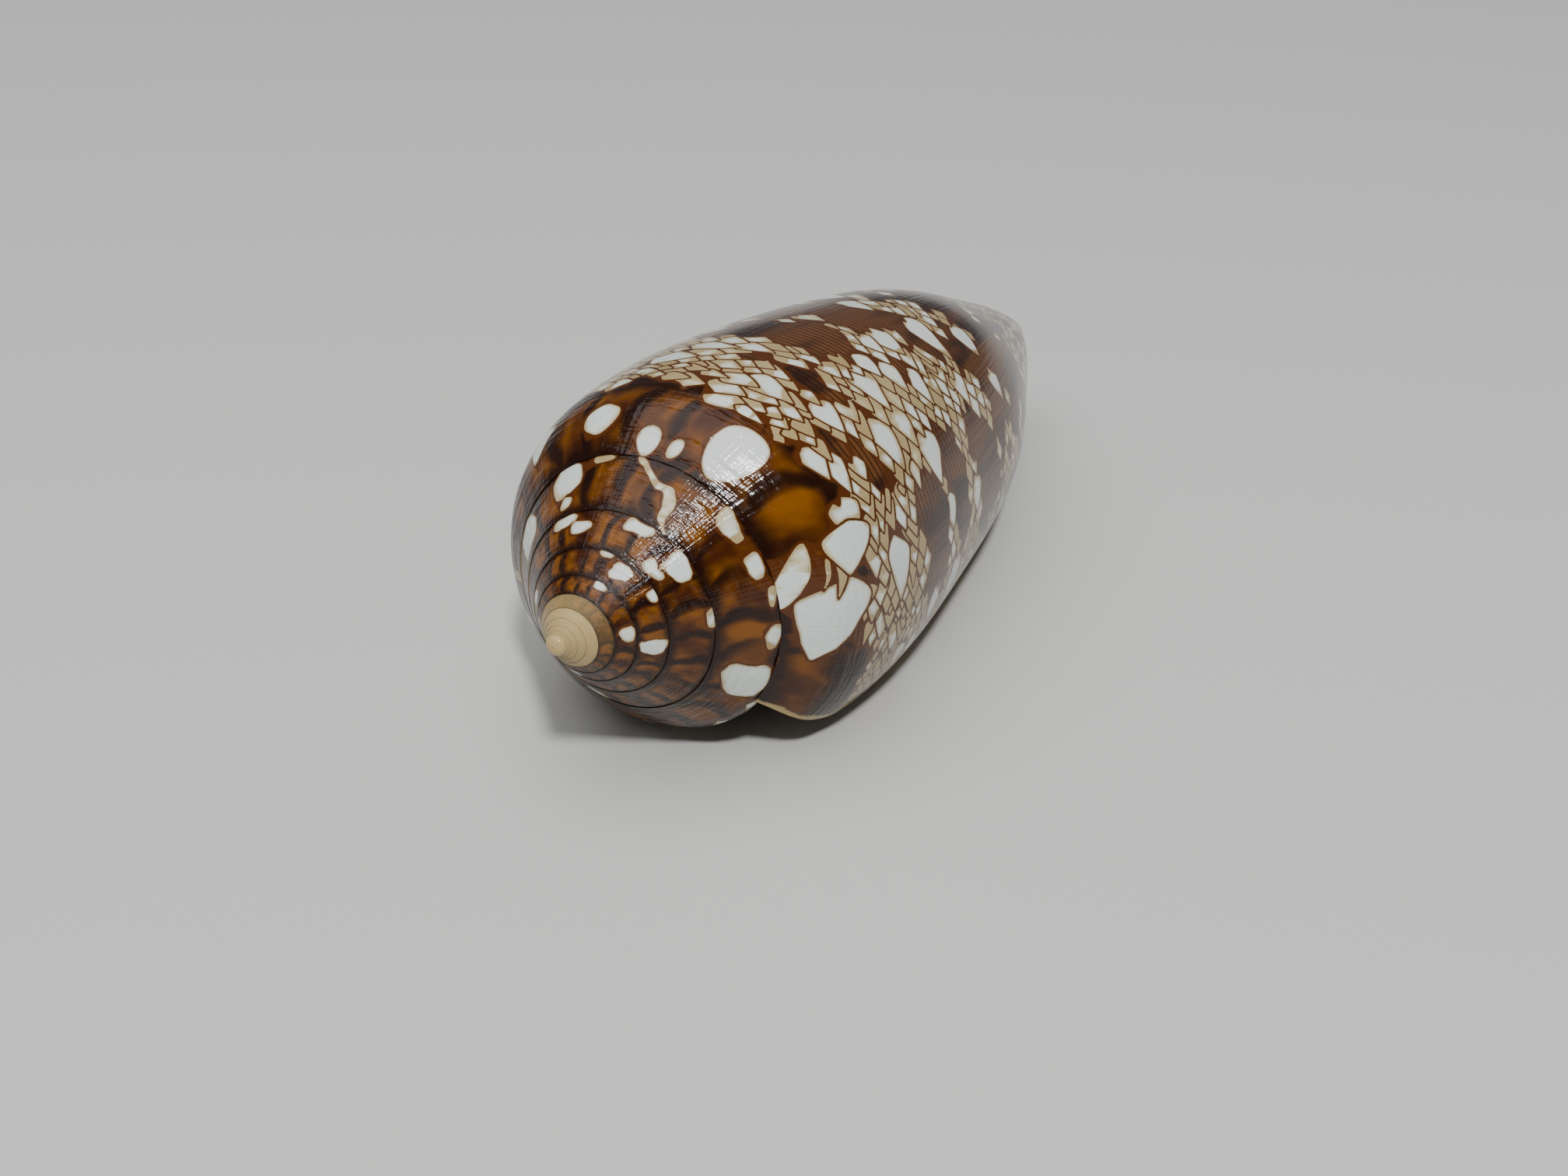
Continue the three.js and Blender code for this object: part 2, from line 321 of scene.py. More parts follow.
# Gloss and fine relief, in metres
ROUGHNESS = 0.14
GLOSS = 0.32
RELIEF_HEIGHT = 0.00016
RELIEF_STRENGTH = 0.6
THREAD_DETAIL = 3.0
FAINT_THREADS = 0.1
GROWTH_LINE_STRENGTH = 0.25

# The floor, and the lights: place, what it aims at, width in metres and power in watts
FLOOR_HALF = 1.5
FLOOR_COLOR = (0.53, 0.53, 0.515, 1)
FLOOR_ROUGHNESS = 0.6
SKY_COLOR = (0.9, 0.94, 1, 1)
SKY_STRENGTH = 0.15
KEY_LIGHT = ((-0.27, -0.19, 0.43), (-0.01, 0, 0.01), 0.055, 2.75)
OVERHEAD_LIGHT = ((-0.15, 0.1, 0.75), (0, 0, 0), 1.0, 5.0)

# The camera, in metres and degrees, its lens in millimetres
CAMERA_PLACE = (-0.0871, -0.0435, 0.0564)
CAMERA_HEADING = 28.0
CAMERA_PITCH = -30.29
CAMERA_ROLL = 0.65
CAMERA_LENS = 48.14
SENSOR_WIDTH = 36
NEAREST_SEEN = 0.005


def lerp(a, b, share):
    return a + (b - a) * share


def smoothstep(value, start, end):
    share = np.clip((value - start) / (end - start), 0, 1)
    return share * share * (3 - 2 * share)


def growth(turns):
    return GROWTH_PER_TURN ** (-turns * (1 + GROWTH_SLOWING * turns))


def seam_radius(turns):
    return SEAM_RATIO * SHOULDER_RADIUS * growth(turns)


def seam_depth(turns):
    return SPIRE_DEPTH * growth(turns)


def seam_step(turns):
    young = smoothstep(turns, SPIRE_TURNS - STEPLESS_TURNS, SPIRE_TURNS - 1)
    return SEAM_STEP * growth(turns) * (1 - young)


def smooth_curve(knots, heights, at):
    """One smooth curve per row of heights, read at one place each."""
    slopes = np.diff(heights, axis=1) / np.diff(knots)
    inner = (slopes[:, 1:] + slopes[:, :-1]) / 2
    tangents = np.hstack([slopes[:, :1], inner, slopes[:, -1:]])
    k = np.clip(np.searchsorted(knots, at, side="right") - 1, 0, len(knots) - 2)
    row = np.arange(len(at))
    width = knots[k + 1] - knots[k]
    s = (at - knots[k]) / width
    start, end = heights[row, k], heights[row, k + 1]
    rise = width * ((1 - s) * tangents[row, k] - s * tangents[row, k + 1])
    return lerp(start, end, s * s * (3 - 2 * s)) + s * (1 - s) * rise


def radius_share(turns, drop):
    ramp_ratio = seam_radius(turns - 1) / (SHOULDER_RADIUS * growth(turns))
    blend = smoothstep(turns, RAMP_BLEND_START, 1)
    radii = np.tile(OUTLINE_RADII, (len(turns), 1))
    radii[:, 1] = lerp(radii[:, 1], (SEAM_RATIO + ramp_ratio) / 2, blend)
    radii[:, 2] = lerp(radii[:, 2], ramp_ratio, blend)
    radii[:, 3] = lerp(radii[:, 3], np.maximum(RAMP_EDGE_RADIUS, ramp_ratio), blend)
    return smooth_curve(OUTLINE_DROPS, radii, drop)


def section(turns, drop):
    """Radius from the shell's axis and depth below the apex."""
    covered = smoothstep(turns, RAMP_BLEND_START, 1)
    slimming = COLUMN_SLIMMING * covered * smoothstep(drop, SLIMMING_START, SLIMMING_FULL)
    radius = SHOULDER_RADIUS * growth(turns) * radius_share(turns, drop) * (1 - slimming)
    ramp_fall = seam_depth(turns - 1) + seam_step(turns - 1) - seam_depth(turns)
    body_fall = LENGTH - FRONT_RISE_PER_TURN * turns - seam_depth(turns)
    fall = lerp(ramp_fall / RAMP_END, body_fall, smoothstep(drop, RAMP_END, BODY_START))
    return radius, seam_depth(turns) + drop * fall


def angle_at(turns, drop):
    lip_curve = LIP_BULGE * 4 * drop * (1 - drop) + LIP_SWEEP * drop
    return TURN * turns + np.radians(ROLL + lip_curve * np.maximum(0, 1 - turns))


def place(radius, depth, angle):
    return np.stack([radius * np.cos(angle), radius * np.sin(angle), -depth], -1)


def outside(turns, drop):
    turns, drop = np.broadcast_arrays(np.asarray(turns, float), np.asarray(drop, float))
    flat_turns, flat_drop = turns.ravel(), drop.ravel()
    radius, depth = section(flat_turns, flat_drop)
    points = place(radius, depth, angle_at(flat_turns, flat_drop))
    return points.reshape(turns.shape + (3,))


def outside_normal(turns, drop):
    """Outward direction of the surface, from small steps along it."""
    before, after = np.maximum(drop - SMALL_STEP, 0), np.minimum(drop + SMALL_STEP, 1)
    down = outside(turns, after) - outside(turns, before)
    back = outside(turns + SMALL_STEP, drop) - outside(turns - SMALL_STEP, drop)
    normal = np.cross(down, back)
    return normal / np.linalg.norm(normal, axis=-1, keepdims=True)


def wall_thickness(turns, drop):
    thickness = lerp(WALL_AT_LIP, WALL_INSIDE, smoothstep(turns, 0, WALL_FULL_AT))
    return thickness * (1 - WALL_THINNING * smoothstep(drop, BODY_START, 1))


def floor_drop(turns):
    return 1 - FLOOR_LIFT * smoothstep(turns, 0, FLOOR_FULL_AT)


def inner_lip(turns, share):
    """The covered turn, as seen through the opening."""
    return outside(turns + 1, lerp(CEILING_DROP, floor_drop(turns), share))


def inner_wall(turns, share):
    """The inside of the last turn's wall, closing on the covered turn."""
    drop = lerp(WALL_TOP_DROP, floor_drop(turns), share)
    radius, depth = section(turns, drop)
    radius_before, depth_before = section(turns, np.maximum(drop - SMALL_STEP, 0))
    radius_after, depth_after = section(turns, np.minimum(drop + SMALL_STEP, 1))
    along = np.hypot(radius_after - radius_before, depth_after - depth_before)
    thickness = wall_thickness(turns, drop)
    radius = radius - thickness * (depth_after - depth_before) / along
    depth = depth + thickness * (radius_after - radius_before) / along
    wall = place(radius, depth, angle_at(turns, drop))
    covered = inner_lip(turns, share)
    closing = smoothstep(turns, CAVITY_TAPER_START, CAVITY_TURNS)
    closing = np.where(share == 0, 1, closing)
    return lerp(wall, covered, closing[:, None])


def smooth_noise(random, shape, cell):
    """Soft random hills between -1 and 1, one for every cell of that many pixels."""
    rows, columns = int(shape[0] / cell) + 3, int(shape[1] / cell) + 3
    grid = random.uniform(-1, 1, (rows, columns))
    y, x = np.arange(shape[0]) / cell, np.arange(shape[1]) / cell
    row, column = y.astype(int), x.astype(int)
    down = smoothstep(y - row, 0, 1)[:, None]
    across = smoothstep(x - column, 0, 1)
    upper = lerp(grid[row][:, column], grid[row][:, column + 1], across)
    lower = lerp(grid[row + 1][:, column], grid[row + 1][:, column + 1], across)
    return lerp(upper, lower, down)


def tent_reach(across, along):
    """1 on the edge of a tent of half length and half width 1 with its point at across -1."""
    before = np.maximum(WIDEST - across, 0) / (1 + WIDEST)
    behind = np.maximum(across - WIDEST, 0) / (1 - WIDEST)
    return np.sqrt(along * along + TIP_ROUNDING) + before**SIDE_CURVE + behind**2


def hump(value, middle, half):
    return np.exp(-(((value - middle) / half) ** 2))


def usual_size(x, y, mood):
    """Tents are smallest near the lip and the shoulder, and biggest in two bands."""
    size = USUAL_SIZE
    for middle, half, extra in BIG_BANDS:
        size = size + extra * hump(y / TURN_HEIGHT, middle, half)
    near_lip = np.clip(x / TURN_LENGTH / SMALL_TO_TURNS, 0, 1)
    return size * (SMALL_AT_LIP + (1 - SMALL_AT_LIP) * near_lip) * np.exp(MOOD_STRENGTH * mood)


def has_room(tents, x, y, size, room):
    off_x = (x - tents[:, 0]) / (tents[:, 2] + size)
    off_y = (y - tents[:, 1]) / (tents[:, 3] + size * SLIMNESS)
    return np.all(np.hypot(off_x, off_y) > room)


def spread_tents(random):
    """The big tents, then smaller ones wherever there is room between them."""
    tents = np.array(TENTS) * (TURN_LENGTH, TURN_HEIGHT, 1, 1)
    mood = smooth_noise(random, MOOD_SHAPE, MOOD_CELL)
    last_row, last_column = MOOD_SHAPE[0] - 1, MOOD_SHAPE[1] - 1
    for scale, tries, room in SPREADS:
        x = random.uniform(-2, TURN_LENGTH + 2, tries)
        y = random.uniform(-2, TURN_HEIGHT + 1, tries)
        row = (y + 3).astype(int).clip(0, last_row)
        column = (x + 3).astype(int).clip(0, last_column)
        sizes = usual_size(x, y, mood[row, column]) * scale * random.uniform(*SIZE_RANGE, tries)
        for one_x, one_y, size in zip(x, y, sizes):
            if has_room(tents, one_x, one_y, size, room):
                tents = np.vstack([tents, (one_x, one_y, size, size * SLIMNESS)])
    return tents


def scale_rows(random, first, last, length, width):
    """Small tents in rows like fish scales, of that length and width where they show."""
    x, y = np.meshgrid(np.arange(first, last, length / 2), np.arange(-1, TURN_HEIGHT + 2, width))
    y[:, 1::2] += width / 2
    shape = (int(TURN_HEIGHT) + 6, int(TURN_LENGTH) + 6)
    row, column = (y + 2).astype(int), (x + 2).astype(int)
    drift_x = ROW_DRIFT * smooth_noise(random, shape, ROW_DRIFT_CELL)[row, column]
    drift_y = ROW_DRIFT * smooth_noise(random, shape, ROW_DRIFT_CELL)[row, column]
    x = x + drift_x + random.uniform(-ROW_JITTER[0], ROW_JITTER[0], x.shape)
    y = y + drift_y + random.uniform(-ROW_JITTER[1], ROW_JITTER[1], x.shape)
    size = random.uniform(*ROW_SIZES, x.shape)
    half_length, half_width = ROW_OVERLAP[0] * length * size, ROW_OVERLAP[1] * width * size
    return np.stack([x, y, half_length, half_width], -1).reshape(-1, 4)


def clear_of(tents, big):
    """The small tents that aren't inside a big one."""
    x = tents[:, 0] - CLEAR_PLACE * tents[:, 2]
    clear = np.ones(len(tents), bool)
    for middle_x, middle_y, half_length, half_width in big:
        across, along = (x - middle_x) / half_length, (tents[:, 1] - middle_y) / half_width
        clear &= tent_reach(across, along) > 1
    return tents[clear]


def patch_depth(x, y):
    """Above 0 inside a brown patch, 1 in its middle."""
    depth = np.full(np.shape(x), -np.inf)
    for turns, drop, half_length, half_height in PATCHES:
        out_x = (x - turns * TURN_LENGTH) / half_length
        out_y = (y - drop * TURN_HEIGHT) / half_height
        depth = np.maximum(depth, 1 - np.hypot(out_x, out_y))
    return depth


def is_brown(random, tents):
    """Tents in the patches and in the shoulder's band are brown, and some towards the front end."""
    x, y, length = tents[:, 0], tents[:, 1], tents[:, 2]
    uneven = random.uniform(-PATCH_RAGGEDNESS, PATCH_RAGGEDNESS, len(x))
    patch = patch_depth(x, y) + uneven - PATCH_RAGGEDNESS * (length > LONG_TENT) > 0
    towards_front = smoothstep(y, FRONT_BROWN_FROM * TURN_HEIGHT, FRONT_BROWN_FULL * TURN_HEIGHT)
    front = random.uniform(0, 1, len(x)) < FRONT_BROWN * towards_front
    band = SHOULDER_BAND + random.uniform(-BAND_RAGGEDNESS, BAND_RAGGEDNESS, len(x))
    plain = (x < PLAIN_BROWN_TO) | (x > PLAIN_BROWN_FROM) | (length < LONG_TENT)
    return patch | front | ((y < band) & plain)


def pixels(middle, reach):
    """The pixels of the sheet within reach of a place."""
    first, last = (middle - reach) / SHEET_PIXEL, (middle + reach) / SHEET_PIXEL
    return slice(max(0, int(first)), max(0, int(last)))


def edge_distance(reach, pixel):
    """Distance from a shape's edge, below 0 inside it, where its reach is 1 on the edge."""
    slope_y, slope_x = np.gradient(reach, pixel)
    return (reach - 1) / np.maximum(np.hypot(slope_x, slope_y), GENTLEST_SLOPE)


def wandering(random, values, steps):
    """The values, moved to and fro by soft noise."""
    for amount, cell in steps:
        values = values + amount * smooth_noise(random, values.shape, cell)
    return values


def tents_in_order(random):
    """All the tents from the lowest to the topmost, and whether each one is brown."""
    big = spread_tents(random)
    fine = scale_rows(random, -1.5, FINE_END, *FINE_SCALE)
    coarse = scale_rows(random, FINE_END, TURN_LENGTH + 2, *COARSE_SCALE)
    tents = np.concatenate([big, clear_of(np.concatenate([fine, coarse]), big)])
    by_hand = np.arange(len(tents)) < len(TENTS)
    in_front = np.where(tents[:, 1] < SHOULDER_BAND, SHOULDER_IN_FRONT, 1.0) * by_hand
    order = np.argsort(tents[:, 0] + WIDEST * tents[:, 2] + in_front)
    return tents[order], ~by_hand[order] & is_brown(random, tents[order])


def shaped_tent(tent, x, y):
    """1 on the tent's edge; it is round on the shoulder, and leans there near the lip."""
    middle_x, middle_y, half_length, half_width = tent
    lean = LIP_LEAN * smoothstep(middle_y, LEVEL_BELOW, LEAN_ABOVE)
    lean = lean * smoothstep(middle_x, LEVEL_AFTER, LEAN_BEFORE)
    across = (x - middle_x) / half_length
    along = (y - middle_y - lean * across * half_length) / half_width
    roundness = smoothstep(middle_y, POINTED_BELOW, ROUND_ABOVE)
    return lerp(tent_reach(across, along), np.hypot(across, along), roundness)


def last_turn_field(random):
    """Above 0 where the last turn is brown: how far inside the brown, in millimetres."""
    shape = (int(TURN_HEIGHT / SHEET_PIXEL) + 1, int(TURN_LENGTH / SHEET_PIXEL) + 1)
    x, y = np.meshgrid(np.arange(shape[1]) * SHEET_PIXEL, np.arange(shape[0]) * SHEET_PIXEL)
    x, y = wandering(random, x, WANDER), wandering(random, y, WANDER)
    field = np.full(shape, BARE_GROUND)
    for tent, brown in zip(*tents_in_order(random)):
        room = PAINTED_SHARE * max(tent[2], tent[3]) + PAINTED_MARGIN
        rows, columns = pixels(tent[1], room), pixels(tent[0], room)
        around = field[rows, columns]
        if min(around.shape) < 3:
            continue
        away = edge_distance(shaped_tent(tent, x[rows, columns], y[rows, columns]), SHEET_PIXEL)
        if not brown:
            around = np.minimum(around, LINE_HALF_WIDTH + away)
        inside = LINE_HALF_WIDTH - away if brown else LINE_HALF_WIDTH + away
        outline = np.maximum(around, LINE_HALF_WIDTH - away)
        field[rows, columns] = np.where(away < 0, inside, outline)
    return field


def blotch_edge(x, y, blotch):
    """Distance from a blotch's edge in ramp widths, below 0 inside it; its older end is slimmer."""
    first, last, inner, outer = blotch
    left, right = (first - 1) * RAMP_LENGTH, (last - 1) * RAMP_LENGTH
    half = (outer - inner) / 2
    out_x = (x - (left + right) / 2) / ((right - left) / 2)
    out_y = (y - (inner + outer) / 2) / half * (1 - BLOTCH_TAPER * out_x.clip(-2, 2))
    reach = np.hypot(np.abs(out_x) ** BLOTCH_SQUARENESS, np.abs(out_y) ** BLOTCH_SQUARENESS)
    return (reach - 1) * half * BLOTCH_SLOPE


def scar_edge(x, y):
    middle = (SCAR_START - 1 + SCAR_SLANT * y) * RAMP_LENGTH + SCAR_WAVE * np.sin(SCAR_WAVES * y)
    return np.abs(x - middle) - SCAR_HALF_WIDTH * (0.5 + np.sin(math.pi * y))


def spire_field(random):
    """Above 0 where the spire is brown, in ramp widths."""
    shape = (int(1 / RAMP_PIXEL) + 2, int((SPIRE_TURNS - 1) * RAMP_LENGTH / RAMP_PIXEL) + 1)
    x, y = np.meshgrid(np.arange(shape[1]) * RAMP_PIXEL, np.arange(shape[0]) * RAMP_PIXEL)
    x, y = wandering(random, x, SPIRE_WANDER), wandering(random, y, SPIRE_WANDER)
    field = np.ones(shape)
    for blotch in BLOTCHES:
        field = np.minimum(field, blotch_edge(x, y, blotch))
    return np.minimum(field, scar_edge(x, y))


def crossing_points(field):
    """Where the field changes sign along the pixel rows and columns, with a number for each place."""
    found = {}
    for step_row, step_column, kind in ((0, 1, 0), (1, 0, 1)):
        here = field[: field.shape[0] - step_row, : field.shape[1] - step_column]
        there = field[step_row:, step_column:]
        rows, columns = np.nonzero((here > 0) != (there > 0))
        share = here[rows, columns] / (here[rows, columns] - there[rows, columns])
        for row, column, s in zip(rows.tolist(), columns.tolist(), share.tolist()):
            found[(kind, row, column)] = (column + s * step_column, row + s * step_row)
    return found


def outline_pieces(field, points):
    """Short pieces of outline, each joining two crossing points of one square of pixels."""
    above = field > 0
    code = above[:-1, :-1] * 1 + above[:-1, 1:] * 2 + above[1:, 1:] * 4 + above[1:, :-1] * 8
    rows, columns = np.nonzero((code > 0) & (code < 15))
    neighbours = {key: [] for key in points}
    for row, column in zip(rows.tolist(), columns.tolist()):
        sides = [(0, row, column), (1, row, column + 1), (0, row + 1, column), (1, row, column)]
        sides = [side for side in sides if side in points]
        for first, second in zip(sides[::2], sides[1::2]):
            neighbours[first].append(second)
            neighbours[second].append(first)
    return neighbours


def linked_lines(neighbours):
    """Chains of crossing points; open ones start at the sheet's edge."""
    waiting = set(neighbours)
    ends = [key for key in neighbours if len(neighbours[key]) == 1]
    lines = []
    for start in ends + list(neighbours):
        if start not in waiting:
            continue
        line = [start]
        waiting.discard(start)
        here = start
        while True:
            onwards = [key for key in neighbours[here] if key in waiting]
            if not onwards:
                break
            here = onwards[0]
            waiting.discard(here)
            line.append(here)
        closed = len(line) > 2 and start in neighbours[here] and len(neighbours[start]) == 2
        lines.append(line + [start] if closed else line)
    return lines


def thinned(line, tolerance):
    """Leaves out the points that lie within a tolerance of the straight line between others."""
    keep = np.zeros(len(line), bool)
    keep[[0, -1]] = True
    half = len(line) // 2
    stretches = [(0, half), (half, len(line) - 1)]
    keep[half] = True
    while stretches:
        first, last = stretches.pop()
        if last - first < 2:
            continue
        start, way = line[first], line[last] - line[first]
        inner = line[first + 1 : last] - start
        length = max(math.hypot(*way), 1e-9)
        away = np.abs(inner[:, 0] * way[1] - inner[:, 1] * way[0]) / length
        furthest = int(away.argmax())
        if away[furthest] > tolerance:
            middle = first + 1 + furthest
            keep[middle] = True
            stretches += [(first, middle), (middle, last)]
    return line[keep]


def read_field(field, x, y):
    """The field between its pixels."""
    x = np.clip(x, 0, field.shape[1] - 1.001)
    y = np.clip(y, 0, field.shape[0] - 1.001)
    column, row = x.astype(int), y.astype(int)
    across, down = x - column, y - row
    upper = lerp(field[row, column], field[row, column + 1], across)
    lower = lerp(field[row + 1, column], field[row + 1, column + 1], across)
    return lerp(upper, lower, down)


def outline_corners(field):
    """Points on the outlines of the markings, in pixels, and the pairs of them that are edges."""
    points = crossing_points(field)
    corners, edges = [], []
    for line in linked_lines(outline_pieces(field, points)):
        if len(line) < SHORTEST_OUTLINE:
            continue
        path = thinned(np.array([points[key] for key in line]), CONTOUR_TOLERANCE)
        count = len(path) - 1 if line[0] == line[-1] else len(path)
        first = len(corners)
        corners += path[:count].tolist()
        edges += [(first + i, first + (i + 1) % count) for i in range(len(path) - 1)]
    return corners, edges


def grid_corners(field, pixel, spacing):
    """Points between the outlines, in pixels, in staggered rows, and all along the sheet's edge."""
    across, down = field.shape[1] - 1, field.shape[0] - 1
    step = spacing / pixel
    columns, rows = max(2, round(across / step)), max(2, round(down / step))
    x, y = np.meshgrid(np.linspace(0, across, columns + 1), np.linspace(0, down, rows + 1))
    x[1::2, 1:-1] += step / 2 * (x[1::2, 1:-1] < across - step)
    chosen = np.abs(read_field(field, x, y)) > CLEAR_OF_OUTLINE * spacing
    chosen[[0, -1], :] = True
    chosen[:, [0, -1]] = True
    return np.stack([x[chosen], y[chosen]], -1).tolist()


def marked_sheet(field, pixel, width, height, spacing):
    """Triangles over a flat sheet whose edges follow the outlines of the markings.

    Gives the corner points, the triangles, for each triangle whether it is brown, and for each
    point how far it is from the nearest outline.
    """
    corners, edges = outline_corners(field)
    corners += grid_corners(field, pixel, spacing)
    made = delaunay_2d_cdt([Vector(corner) for corner in corners], edges, [], 0, SAME_CORNER, False)
    placed = np.array([tuple(corner) for corner in made[0]])
    triangles = np.array([face for face in made[2] if len(face) == 3])
    middles = placed[triangles].mean(1)
    brown = read_field(field, middles[:, 0], middles[:, 1]) > 0
    depth = np.abs(read_field(field, placed[:, 0], placed[:, 1]))
    to_sheet = (width / (field.shape[1] - 1), height / (field.shape[0] - 1))
    return placed * to_sheet, triangles, brown, depth


class Skin:
    """Sheets of triangles gathered into one mesh, with what the material reads at each point."""

    def __init__(self):
        self.points, self.normals, self.places, self.kinds, self.depths = [], [], [], [], []
        self.triangles, self.brown = [], []
        self.count = 0

    def add(self, points, normals, places, kind, triangles, brown=None, depth=None):
        self.points.append(points)
        self.normals.append(normals)
        self.places.append(places)
        self.kinds.append(np.full(len(points), kind, float))
        self.depths.append(np.zeros(len(points)) if depth is None else depth)
        self.triangles.append(triangles + self.count)
        self.brown.append(np.zeros(len(triangles)) if brown is None else brown)
        self.count += len(points)

    def add_grid(self, points, places, kind):
        """A grid of points, with the normal of each from its neighbours."""
        rows, columns = points.shape[:2]
        down = np.gradient(points, axis=1)
        back = np.gradient(points, axis=0)
        normals = np.cross(down, back)
        length = np.linalg.norm(normals, axis=-1, keepdims=True)
        normals = normals / np.maximum(length, 1e-12)
        index = np.arange(rows * columns).reshape(rows, columns)
        a, b = index[:-1, :-1].ravel(), index[:-1, 1:].ravel()
        c, d = index[1:, 1:].ravel(), index[1:, :-1].ravel()
        triangles = np.concatenate([np.stack([a, b, c], -1), np.stack([a, c, d], -1)])
        flat = points.reshape(-1, 3)
        corner, second, third = (flat[triangles[:, i]] for i in range(3))
        size = np.linalg.norm(np.cross(second - corner, third - corner), axis=1)
        whole = triangles[size > SMALLEST_TRIANGLE]
        self.add(flat, normals.reshape(-1, 3), places.reshape(-1, 3), kind, whole)


def add_last_turn(skin, random):
    field = last_turn_field(random)
    flat, triangles, brown, depth = marked_sheet(field, SHEET_PIXEL, 1, 1, SHEET_SPACING)
    turns, drop = flat[:, 0], flat[:, 1]
    places = np.stack([turns * TURN_LENGTH, drop * TURN_HEIGHT, np.zeros(len(turns))], -1)
    faces = triangles[:, [0, 2, 1]]
    normals = outside_normal(turns, drop)
    skin.add(outside(turns, drop), normals, places, LAST_TURN, faces, brown, depth)


def ramp_drop(turns, share):
    return lerp(share * RAMP_END, RAMP_END, smoothstep(turns, SPIRE_TURNS - 1, SPIRE_TURNS))


def add_spire(skin, random):
    field = spire_field(random)
    length = SPIRE_TURNS - 1
    flat, triangles, brown, depth = marked_sheet(field, RAMP_PIXEL, length, 1, RAMP_SPACING)
    turns, share = flat[:, 0] + 1, flat[:, 1]
    drop = ramp_drop(turns, share)
    normals = outside_normal(turns, np.minimum(drop, RAMP_END - SMALL_STEP))
    places = np.stack([turns * TURN_LENGTH, share * RAMP_WIDTH, np.zeros(len(turns))], -1)
    faces = triangles[:, [0, 2, 1]]
    skin.add(outside(turns, drop), normals, places, SPIRE, faces, brown, depth * RAMP_WIDTH)


def add_seam(skin):
    """The small step from each ramp up to the next turn's seam."""
    turns = np.linspace(1, SPIRE_TURNS, SEAM_POINTS)
    ramp_edge = outside(turns, ramp_drop(turns, 1.0))
    seam = outside(turns - 1, np.zeros(len(turns)))
    rows = np.stack([ramp_edge, seam], 1)
    skin.add_grid(rows, np.zeros(rows.shape), SPIRE)


def add_nucleus(skin):
    """The small dome of the young shell on the apex."""
    along = np.linspace(SPIRE_TURNS - 1, SPIRE_TURNS, NUCLEUS_GRID[0])
    turns, ring = np.meshgrid(along, np.linspace(0, 1, NUCLEUS_GRID[1]), indexing="ij")
    rim_radius, rim_depth = section(turns.ravel(), ramp_drop(turns.ravel(), 0.0))
    rise = ring.ravel() * math.pi / 2
    depth = rim_depth - NUCLEUS_HEIGHT * rim_depth * np.cos(rise)
    points = place(rim_radius * np.sin(rise), depth, angle_at(turns.ravel(), 0.0))
    points = points.reshape(turns.shape + (3,))
    places = np.full(points.shape, SPIRE_TURNS * TURN_LENGTH)
    places[..., 1] = RAMP_WIDTH / 2
    skin.add_grid(points, places, SPIRE)


def add_inside(skin):
    """The covered turn and the wall's inside behind the opening, and the floor between them."""
    back = np.linspace(0, CAVITY_TURNS, INSIDE_GRID[0])
    turns, share = np.meshgrid(back, np.linspace(0, 1, INSIDE_GRID[1]), indexing="ij")
    shape = turns.shape + (3,)
    covered = inner_lip(turns.ravel(), share.ravel()).reshape(shape)
    wall = inner_wall(turns.ravel(), share.ravel()).reshape(shape)
    places = np.stack([turns * TURN_LENGTH, share * TURN_HEIGHT, turns * 0], -1)
    skin.add_grid(covered, places, INSIDE)
    skin.add_grid(wall[::-1], places[::-1], INSIDE)
    floor = np.stack([wall[:, -1], covered[:, -1]], 0)
    skin.add_grid(floor, np.stack([places[:, -1], places[:, -1]], 0), INSIDE)


def add_lip(skin):
    """The lip's edge, rounded forwards between the outside and the inside of the wall."""
    share = np.linspace(0, 1, LIP_GRID[1])
    zero = np.zeros(len(share))
    outer = outside(zero, lerp(CEILING_DROP, 1, share))
    inner = inner_wall(zero, share)
    forwards = outside(0.0, RAMP_END) - outside(SMALL_STEP, RAMP_END)
    forwards = forwards / np.linalg.norm(forwards)
    rounding = np.where((share == 0) | (share == 1), 0, LIP_ROUNDING)
    rows = []
    for step in np.linspace(0, 1, LIP_GRID[0]):
        bulge = rounding * math.sin(step * math.pi)
        rows.append(lerp(inner, outer, step) + bulge[:, None] * forwards)
    rows = np.stack(rows)
    places = np.zeros(rows.shape)
    places[..., 1] = share * TURN_HEIGHT
    skin.add_grid(rows, places, INSIDE)
    add_lip_corner(skin, inner[:1], outer[:1])


def add_lip_corner(skin, inner, outer):
    """The flat corner between the top of the lip and the seam."""
    seam = outside(1.0, RAMP_END)[None]
    drop = np.linspace(0, RAMP_END, LIP_CORNER_POINTS)
    shoulder = outside(drop * 0, drop)
    around = np.concatenate([inner, seam, shoulder, outer])[::-1]
    middle = np.tile(lerp(inner, outer, 0.5), (len(around), 1))
    skin.add_grid(np.stack([middle, around]), np.zeros((2, len(around), 3)), INSIDE)


def add_front_end(skin):
    """The small cap that closes the coil at the front end."""
    turns = np.linspace(0, 1, FRONT_POINTS)
    edge = outside(turns, np.ones(len(turns)))
    one = np.ones(1)
    edge = np.concatenate([edge, inner_wall(one * 0, one), edge[:1]])[::-1]
    middle = np.tile(edge.mean(0), (len(edge), 1))
    skin.add_grid(np.stack([middle, edge]), np.zeros((2, len(edge), 3)), INSIDE)


